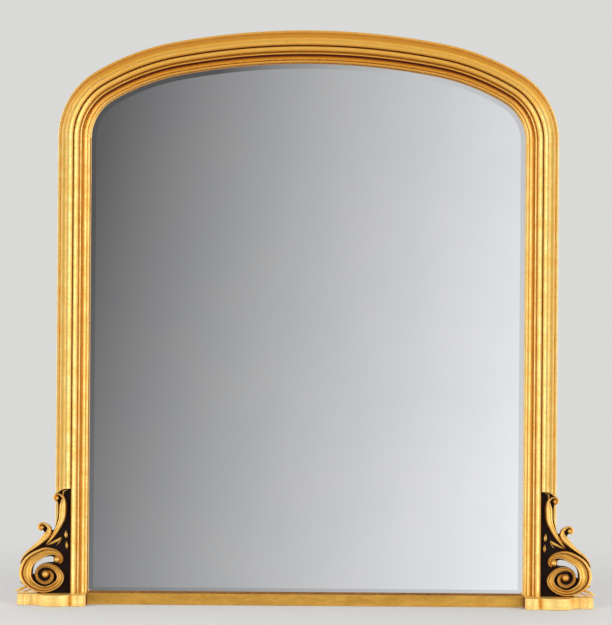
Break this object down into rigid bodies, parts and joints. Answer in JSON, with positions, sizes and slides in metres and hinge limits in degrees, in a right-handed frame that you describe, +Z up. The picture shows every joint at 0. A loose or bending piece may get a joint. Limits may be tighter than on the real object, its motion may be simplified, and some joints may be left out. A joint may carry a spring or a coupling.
{
  "type": "overmantel mirror",
  "caption": "Gilt overmantel mirror: arched moulded frame on a stepped plinth with carved scroll brackets, bevelled glass, turn buttons and strap hangers.",
  "frame": {"origin": "middle of the plinth's underside", "axes": "+X to the viewer's right, +Y towards the wall, +Z up"},
  "size_m": [1.2842, 0.088, 1.27],
  "materials": {
    "gilt_wood": "burnished and toned gold leaf over red clay on wood",
    "dark_ground": "dark toned ground of the carved brackets",
    "beech": "plain dowel",
    "mirror": "polished, silvered behind, bevelled edges",
    "pad_rubber": "matt",
    "card": "brown board",
    "board": "hardboard",
    "brass": "brassed plate",
    "steel": "zinc plated"
  },
  "bodies": {
    "frame": {"stile_left": "gilt_wood", "stile_right": "gilt_wood", "shoulder_left": "gilt_wood", "shoulder_right": "gilt_wood", "haunch_left": "gilt_wood", "haunch_right": "gilt_wood", "crown": "gilt_wood", "frame_dowels": "beech", "plinth_rail": "gilt_wood", "plinth_block_left": "gilt_wood", "plinth_block_right": "gilt_wood", "plinth_dowels": "beech", "stile_screws": "steel", "bracket_ground_left": "dark_ground", "bracket_ground_right": "dark_ground", "bracket_scroll_left": "gilt_wood", "bracket_scroll_right": "gilt_wood", "bracket_leafage_left": "gilt_wood", "bracket_leafage_right": "gilt_wood", "bracket_screws": "steel", "mirror_glass": "mirror", "setting_pads": "pad_rubber", "cushion_sheet": "card", "back_board": "board", "turn_button_screws": "steel", "hanger_strap_left": "brass", "hanger_strap_right": "brass", "hanger_screws": "steel"},
    "turn_button_1": {"turn_button_1": "brass"},
    "turn_button_2": {"turn_button_2": "brass"},
    "turn_button_3": {"turn_button_3": "brass"},
    "turn_button_4": {"turn_button_4": "brass"},
    "turn_button_5": {"turn_button_5": "brass"},
    "turn_button_6": {"turn_button_6": "brass"},
    "turn_button_7": {"turn_button_7": "brass"},
    "turn_button_8": {"turn_button_8": "brass"},
    "hanger_ring_left": {"hanger_ring_left": "steel"},
    "hanger_ring_right": {"hanger_ring_right": "steel"}
  },
  "joints": [
    {"name": "turn_button_1_turn", "type": "hinge", "parent": "frame", "child": "turn_button_1", "pos_m": [-0.504, 0.03885, 0.33], "axis": [0, 1, 0], "continuous": true},
    {"name": "turn_button_2_turn", "type": "hinge", "parent": "frame", "child": "turn_button_2", "pos_m": [0.504, 0.03885, 0.33], "axis": [0, 1, 0], "continuous": true},
    {"name": "turn_button_3_turn", "type": "hinge", "parent": "frame", "child": "turn_button_3", "pos_m": [-0.504, 0.03885, 0.76], "axis": [0, 1, 0], "continuous": true},
    {"name": "turn_button_4_turn", "type": "hinge", "parent": "frame", "child": "turn_button_4", "pos_m": [0.504, 0.03885, 0.76], "axis": [0, 1, 0], "continuous": true},
    {"name": "turn_button_5_turn", "type": "hinge", "parent": "frame", "child": "turn_button_5", "pos_m": [-0.36796, 0.03885, 1.17209], "axis": [0, 1, 0], "continuous": true},
    {"name": "turn_button_6_turn", "type": "hinge", "parent": "frame", "child": "turn_button_6", "pos_m": [0.36796, 0.03885, 1.17209], "axis": [0, 1, 0], "continuous": true},
    {"name": "turn_button_7_turn", "type": "hinge", "parent": "frame", "child": "turn_button_7", "pos_m": [-0.14359, 0.03885, 1.21529], "axis": [0, 1, 0], "continuous": true},
    {"name": "turn_button_8_turn", "type": "hinge", "parent": "frame", "child": "turn_button_8", "pos_m": [0.14359, 0.03885, 1.21529], "axis": [0, 1, 0], "continuous": true},
    {"name": "hanger_ring_left_swing", "type": "hinge", "parent": "frame", "child": "hanger_ring_left", "pos_m": [-0.53, 0.0407, 0.93024], "axis": [1, 0, 0], "range_deg": [0, 180]},
    {"name": "hanger_ring_right_swing", "type": "hinge", "parent": "frame", "child": "hanger_ring_right", "pos_m": [0.53, 0.0407, 0.93024], "axis": [1, 0, 0], "range_deg": [0, 180]}
  ]
}
